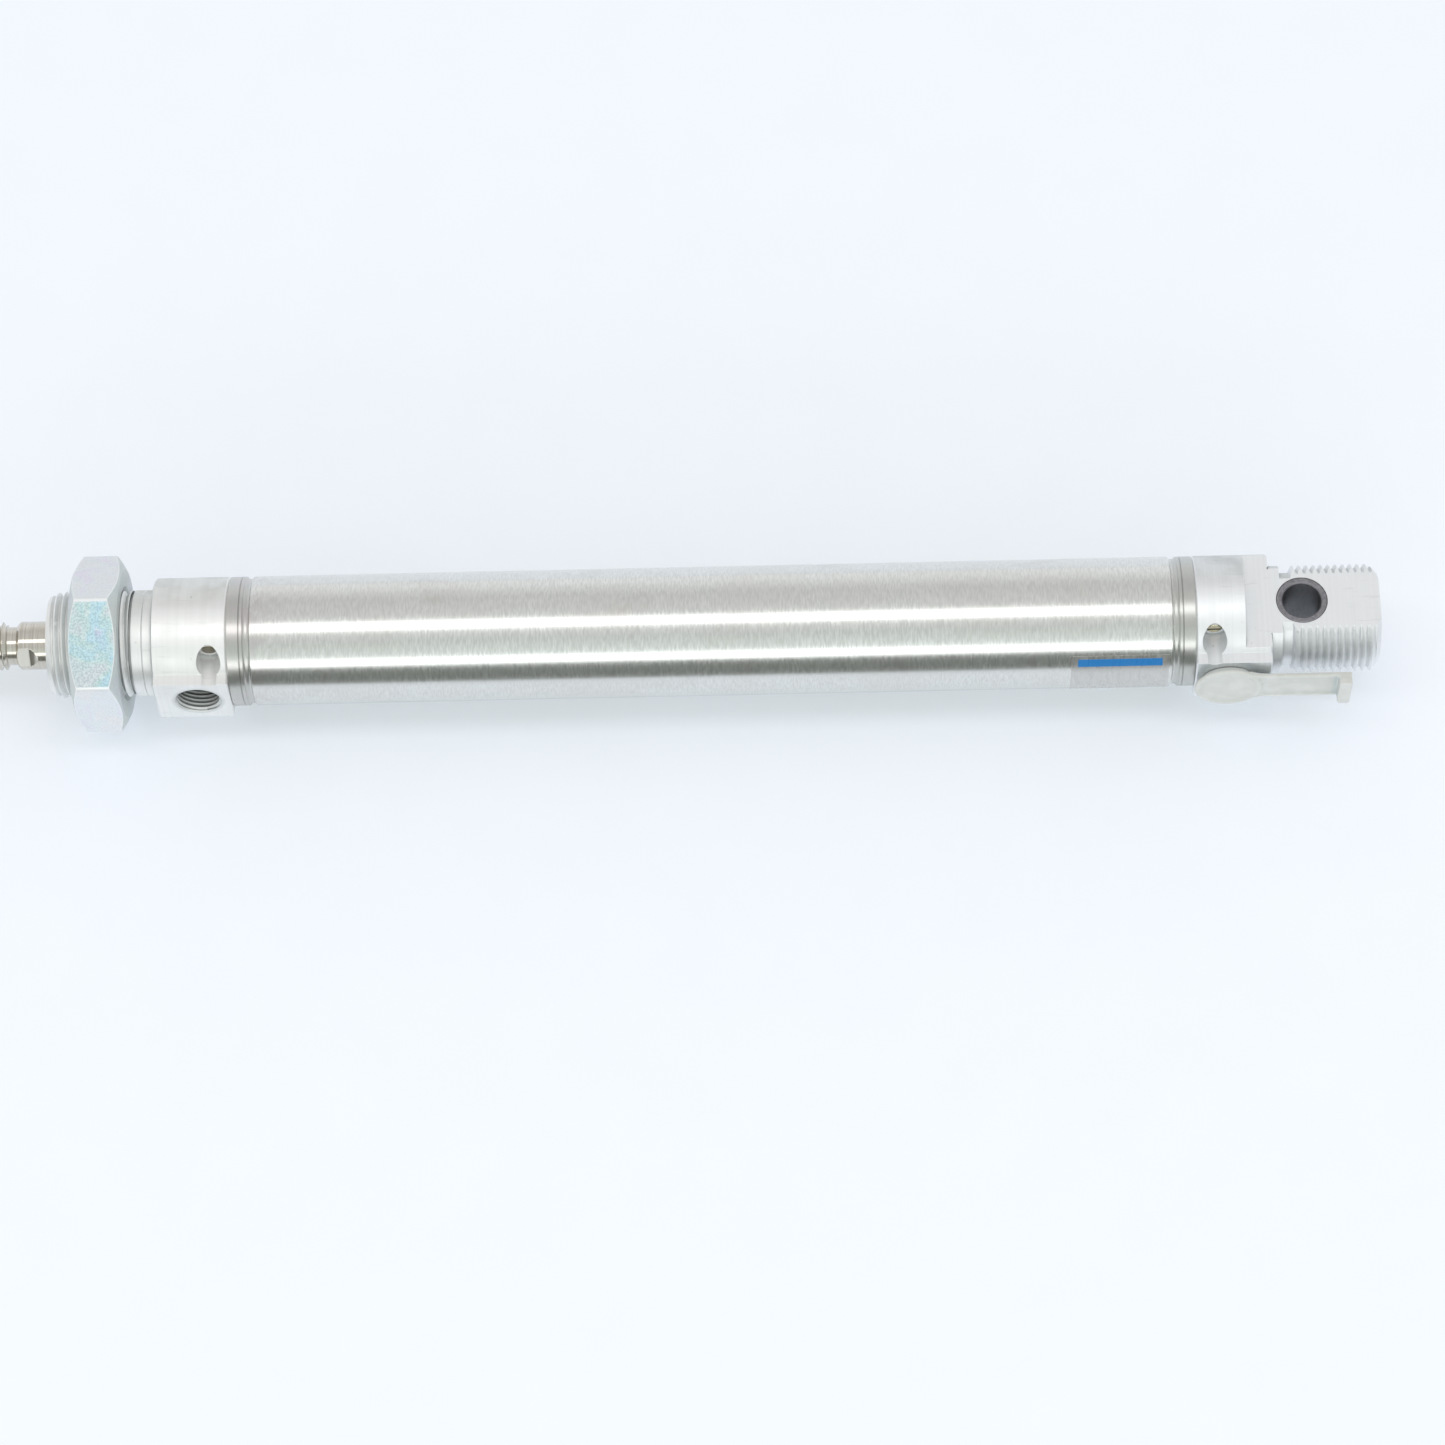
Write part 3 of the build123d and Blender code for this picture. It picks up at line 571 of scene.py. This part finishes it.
def thread_cutter(start, end, pitch, crest, root, flank, fade_start=0.0, fade_end=0.0, steps=72):
    """A right-handed helical ridge along X that cuts one thread's groove.

    crest and root are radii, the groove's depth between them. It is wider at the crest by the flank
    angle. Over the fades, in turns, the root comes back to the crest, so that the groove runs out.
    """
    outward = 1 if crest > root else -1
    slope = math.tan(flank)
    overshoot = 0.05 * pitch
    mouth = crest + outward * overshoot
    root_half = pitch / 16 if outward < 0 else pitch / 8
    least_depth = 0.02
    turns = (end - start) / pitch
    count = round(turns * steps)
    mesh = bpy.data.meshes.new("thread_cutter")
    work = bmesh.new()
    rings = []
    for step in range(count + 1):
        turn = turns * step / count
        depth_share = 1.0
        if fade_start:
            depth_share = min(depth_share, turn / fade_start)
        if fade_end:
            depth_share = min(depth_share, (turns - turn) / fade_end)
        floor = crest + (root - crest) * max(depth_share, least_depth)
        middle = start + (end - start) * step / count
        mouth_half = root_half + abs(mouth - floor) * slope
        angle = TURN * turn
        section = ((-root_half, floor), (root_half, floor), (mouth_half, mouth), (-mouth_half, mouth))
        rings.append(
            [
                work.verts.new((middle + shift, radius * math.cos(angle), radius * math.sin(angle)))
                for shift, radius in section
            ]
        )
    for ring, following in zip(rings, rings[1:]):
        for corner in range(4):
            after = (corner + 1) % 4
            work.faces.new((ring[corner], ring[after], following[after], following[corner]))
    work.faces.new(rings[0])
    work.faces.new(rings[-1])
    bmesh.ops.recalc_face_normals(work, faces=work.faces)
    work.to_mesh(mesh)
    work.free()
    cutter = bpy.data.objects.new("thread_cutter", mesh)
    bpy.context.scene.collection.objects.link(cutter)
    return cutter


# ---- Threads: M22 x 1.5 on the neck and the lug, M10 x 1.25 on the rod, G1/8 in the ports ----

METRIC_FLANK = math.radians(30)
PIPE_FLANK = math.radians(27.5)
body_thread = {"pitch": 1.5 * MM, "crest": 11.0 * MM, "root": 10.08 * MM, "flank": METRIC_FLANK}
rod_thread = {"pitch": 1.25 * MM, "crest": 5.0 * MM, "root": 4.23 * MM, "flank": METRIC_FLANK}
port_thread = {"pitch": 0.907 * MM, "crest": 4.285 * MM, "root": 4.86 * MM, "flank": PIPE_FLANK}
body_thread_lead, rod_thread_lead, port_thread_lead = 0.7 * MM, 0.6 * MM, 0.3 * MM
port_thread_length = 6.2 * MM


def port_cutter(port):
    """The pipe thread's groove, laid along a port that opens towards -Y."""
    cutter = thread_cutter(-port_thread_lead, port_thread_length, fade_end=0.5, steps=60, **port_thread)
    quarter_turn = Matrix.Rotation(math.radians(90), 4, "Z")
    cutter.data.transform(Matrix.Translation((port.x, port_y, 0)) @ quarter_turn)
    return cutter


front_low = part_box("front_end_cap")[0]
rear_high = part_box("rear_end_cap")[1]
rod_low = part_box("piston_rod")[0]
neck_runout = -4.75 * MM
lug_undercut = 4.3 * MM

front_cap = new_piece("front_end_cap_threaded", closed_copy("front_end_cap"), front_aluminium)
neck_thread_start = front_low.x - body_thread_lead
cut(front_cap, thread_cutter(neck_thread_start, neck_runout, fade_end=0.25, **body_thread))
cut(front_cap, port_cutter(mount_point["front_port"]))
shade_around_cuts(front_cap.data)
stand_for(front_cap, "front_end_cap")

pivot_to_shoulder = 6.6 * MM
lug_thread_start = mount_point["pivot_bore"].x - pivot_to_shoulder + lug_undercut
lug_thread_end = rear_high.x + body_thread_lead
rear_cap = new_piece("rear_end_cap_threaded", closed_copy("rear_end_cap"), rear_aluminium)
cut(rear_cap, thread_cutter(lug_thread_start, lug_thread_end, fade_start=0.25, **body_thread))
cut(rear_cap, port_cutter(mount_point["rear_port"]))
shade_around_cuts(rear_cap.data)
stand_for(rear_cap, "rear_end_cap")

rod_thread_length = 19.3 * MM
rod_thread_end = mount_point["rod_thread"].x + rod_thread_length
rod = new_piece("piston_rod_threaded", closed_copy("piston_rod"), ground_rod)
cut(rod, thread_cutter(rod_low.x - rod_thread_lead, rod_thread_end, fade_end=0.25, **rod_thread))
shade_around_cuts(rod.data)
stand_for(rod, "piston_rod")


# ---- Mounting nut with rounded edges ----

nut = new_piece("mounting_nut_plated", closed_copy("mounting_nut"), zinc_plate())
rounding = nut.modifiers.new("rounding", "BEVEL")
rounding.limit_method = "ANGLE"
rounding.angle_limit = math.radians(24)
rounding.width = 0.22 * MM
rounding.segments = 2
apply_modifiers(nut)
nut.data.shade_smooth()
nut.data.set_sharp_from_angle(angle=math.radians(40))
nut.data.attributes.remove(nut.data.attributes["cad_normal"])
stand_for(nut, "mounting_nut")


# ---- Shipping plug: a soft moulded stem, flange, strap and grip, welded into one skin ----

def lathe(work, axis_x, outline, steps=96):
    """Turn an outline of (radius, y) points, from the axis back to the axis, round a line along Y."""
    rings = []
    for radius, y in outline:
        if radius == 0:
            rings.append([work.verts.new((axis_x, y, 0))])
            continue
        ring = []
        for step in range(steps):
            angle = TURN * step / steps
            ring.append(work.verts.new((axis_x + radius * math.cos(angle), y, radius * math.sin(angle))))
        rings.append(ring)
    for inner, outer in zip(rings, rings[1:]):
        for step in range(steps):
            after = (step + 1) % steps
            corners = [inner[turn % len(inner)] for turn in (step, after)]
            corners += [outer[turn % len(outer)] for turn in (after, step)]
            work.faces.new(list(dict.fromkeys(corners)))


def loft(work, sections):
    """A closed tube through sections of equal point counts, capped at both ends."""
    rings = [[work.verts.new(point) for point in section] for section in sections]
    count = len(rings[0])
    for ring, following in zip(rings, rings[1:]):
        for corner in range(count):
            after = (corner + 1) % count
            work.faces.new((ring[corner], ring[after], following[after], following[corner]))
    work.faces.new(rings[0])
    work.faces.new(rings[-1])


plug_low, plug_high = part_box("port_plug")
plug_x = mount_point["rear_port"].x
strap_back, strap_face, rim_face = port_y - 1.05 * MM, port_y - 1.50 * MM, port_y - 2.0 * MM
flange_back, flange_face, dish_face = port_y - 1.35 * MM, port_y - 2.25 * MM, port_y - 1.85 * MM
strap_half, rim_width = 4.25 * MM, 0.8 * MM
flange_radius, flange_neck_radius = 6.95 * MM, 5.55 * MM
dish_radius, dish_edge_radius = 5.3 * MM, 6.0 * MM
stem_radius, stem_tip_radius, stem_taper = 4.15 * MM, 3.5 * MM, 1.2 * MM
face_round, back_round = 0.3 * MM, 0.2 * MM
skin_room = 0.05 * MM
seat_y = port_y - 0.08 * MM
stem_end = plug_high.y - skin_room

plug_mesh = bpy.data.meshes.new("plug")
work = bmesh.new()
lathe(
    work,
    plug_x,
    (
        (0, dish_face),
        (dish_radius, dish_face),
        (dish_edge_radius, flange_face),
        (flange_radius - face_round, flange_face),
        (flange_radius, flange_face + face_round),
        (flange_radius, flange_back - back_round),
        (flange_radius - back_round, flange_back),
        (flange_neck_radius, flange_back),
        (flange_neck_radius, seat_y),
        (stem_radius, seat_y),
        (stem_radius, stem_end - stem_taper),
        (stem_tip_radius, stem_end),
        (0, stem_end),
    ),
)
strap_start = plug_x + 4.2 * MM
strap_end = plug_high.x - 0.1 * MM
flare_end = plug_x + 9.2 * MM
flare_width = 1.25 * MM
rim_round, rim_slope = 0.1 * MM, 0.15 * MM
stations = 32
sections = []
for station in range(stations + 1):
    x = strap_start + (strap_end - strap_start) * station / stations
    flare = max(0.0, (flare_end - x) / (flare_end - strap_start)) ** 3
    half = strap_half + flare * flare_width
    floor = strap_face if x > plug_x + flange_radius else dish_face
    sections.append(
        [
            (x, strap_back, -half),
            (x, rim_face + rim_round, -half),
            (x, rim_face, -half + rim_slope),
            (x, rim_face, -half + rim_width - rim_slope),
            (x, floor, -half + rim_width),
            (x, floor, half - rim_width),
            (x, rim_face, half - rim_width + rim_slope),
            (x, rim_face, half - rim_slope),
            (x, rim_face + rim_round, half),
            (x, strap_back, half),
        ]
    )
loft(work, sections)
grip_start, grip_face = plug_high.x - 2.7 * MM, plug_low.y + skin_room
grip_round = 0.4 * MM
grip_stations = (
    (grip_start, 0.25 * MM),
    (grip_start + grip_round, 0),
    (strap_end - grip_round, 0),
    (strap_end, 0.3 * MM),
)
grip_sections = []
for x, inset in grip_stations:
    half, face = strap_half - inset, grip_face + inset
    grip_sections.append([(x, strap_back, -half), (x, face, -half), (x, face, half), (x, strap_back, half)])
loft(work, grip_sections)
bmesh.ops.recalc_face_normals(work, faces=work.faces)
work.to_mesh(plug_mesh)
work.free()
plug = new_piece("port_plug_moulded", plug_mesh, plug_polyethylene())
skin = plug.modifiers.new("skin", "REMESH")
skin.mode = "VOXEL"
skin.voxel_size = 0.16 * MM
soften = plug.modifiers.new("soften", "SMOOTH")
soften.iterations = 4
apply_modifiers(plug)
plug.data.shade_smooth()
stand_for(plug, "port_plug")


# ---- Studio: pale floor, grey sky, two long soft lights and a dark flag seen only in reflections ----

middle_x = (cad_low.x + cad_high.x) / 2
floor_z = cad_low.z - 0.02 * MM


def plain_quad(name, corners, material):
    """A flat sheet with that material."""
    mesh = bpy.data.meshes.new(name)
    mesh.from_pydata(corners, [], [(0, 1, 2, 3)])
    sheet = new_piece(name, mesh, material)
    return sheet


floor_half = 8.0
unlit = {"specular_ior_level": 0.0, "emission_strength": 1.0}
paper = Finish("floor_pale_paper", (0.80, 0.81, 0.90), 0.0, 0.9, **unlit)
paper_fibre = paper.noise((60, 60, 60), 4.0)
paper_tone = paper.grade(paper_fibre, (0.3, (0.795, 0.805, 0.895)), (0.7, (0.805, 0.815, 0.905)))
paper.set("Base Color", paper_tone)
paper.set("Emission Color", (0.175, 0.20, 0.178, 1))
floor_corners = [(x * floor_half, y * floor_half, floor_z) for x, y in ((-1, -1), (1, -1), (1, 1), (-1, 1))]
plain_quad("floor", floor_corners, paper.material)

flag_finish = Finish("flag_dark", (0.0, 0.0, 0.0), 0.0, 1.0, **unlit)
flag_finish.set("Emission Color", (0.205, 0.22, 0.205, 1))
flag_near = Vector((0, -61 * MM, floor_z))
flag_far = toward(-50) * 0.40
flag_half = 1.0
flag = plain_quad(
    "flag",
    [
        (middle_x - flag_half, flag_near.y, flag_near.z),
        (middle_x + flag_half, flag_near.y, flag_near.z),
        (middle_x + flag_half, flag_far.y, flag_far.z),
        (middle_x - flag_half, flag_far.y, flag_far.z),
    ],
    flag_finish.material,
)
flag.visible_camera = False
flag.visible_diffuse = False
flag.visible_shadow = False
flag.visible_transmission = False


def strip_light(name, degrees, radiance, width_degrees, length=1.7, distance=1.15):
    """A long soft light above the part, parallel to its axis."""
    data = bpy.data.lights.new(name, "AREA")
    data.shape = "RECTANGLE"
    data.size = length
    data.size_y = 2 * distance * math.tan(math.radians(width_degrees / 2))
    data.energy = radiance * math.pi * data.size * data.size_y
    light = bpy.data.objects.new(name, data)
    bpy.context.scene.collection.objects.link(light)
    direction = toward(degrees)
    light.location = Vector((middle_x, 0, 0)) + direction * distance
    facing = (-direction).to_track_quat("-Z", "Y")
    across = facing @ Vector((1, 0, 0))
    if abs(across.x) < 0.5:
        facing = facing @ Matrix.Rotation(math.radians(90), 3, "Z").to_quaternion()
    light.rotation_mode = "QUATERNION"
    light.rotation_quaternion = facing
    light.visible_camera = False
    return light


strip_light("key_strip", 22, 1.55, 15)
strip_light("front_strip", -42.8, 1.55, 13)


def studio_sky():
    """A grey sky in soft bands along the part, by the angle of view about the X axis."""
    world = bpy.data.worlds.new("studio")
    bpy.context.scene.world = world
    world.use_nodes = True
    tree = world.node_tree
    split = tree.nodes.new("ShaderNodeSeparateXYZ")
    turn = tree.nodes.new("ShaderNodeMath")
    turn.operation = "ARCTAN2"
    share = tree.nodes.new("ShaderNodeMapRange")
    share.inputs["From Min"].default_value = -math.pi / 2
    share.inputs["From Max"].default_value = math.pi / 2
    ramp = tree.nodes.new("ShaderNodeValToRGB")
    bands = (
        (-90, (0.88, 0.91, 0.93)),
        (-72, (0.84, 0.88, 0.88)),
        (-52, (0.80, 0.86, 0.83)),
        (-34, (0.70, 0.72, 0.71)),
        (-20, (0.74, 0.75, 0.74)),
        (24, (0.73, 0.73, 0.73)),
        (46, (0.68, 0.68, 0.68)),
        (76, (0.91, 0.92, 0.93)),
    )
    elements = ramp.color_ramp.elements
    while len(elements) < len(bands):
        elements.new(0.5)
    for element, (degrees, color) in zip(elements, bands):
        element.position = 0.5 + degrees / 180
        element.color = (*color, 1)
    links = tree.links
    links.new(tree.nodes.new("ShaderNodeTexCoord").outputs["Generated"], split.inputs[0])
    links.new(split.outputs["Y"], turn.inputs[0])
    links.new(split.outputs["Z"], turn.inputs[1])
    links.new(turn.outputs[0], share.inputs["Value"])
    links.new(share.outputs[0], ramp.inputs[0])
    links.new(ramp.outputs[0], tree.nodes["Background"].inputs["Color"])
    tree.nodes["Background"].inputs["Strength"].default_value = 1.0


studio_sky()
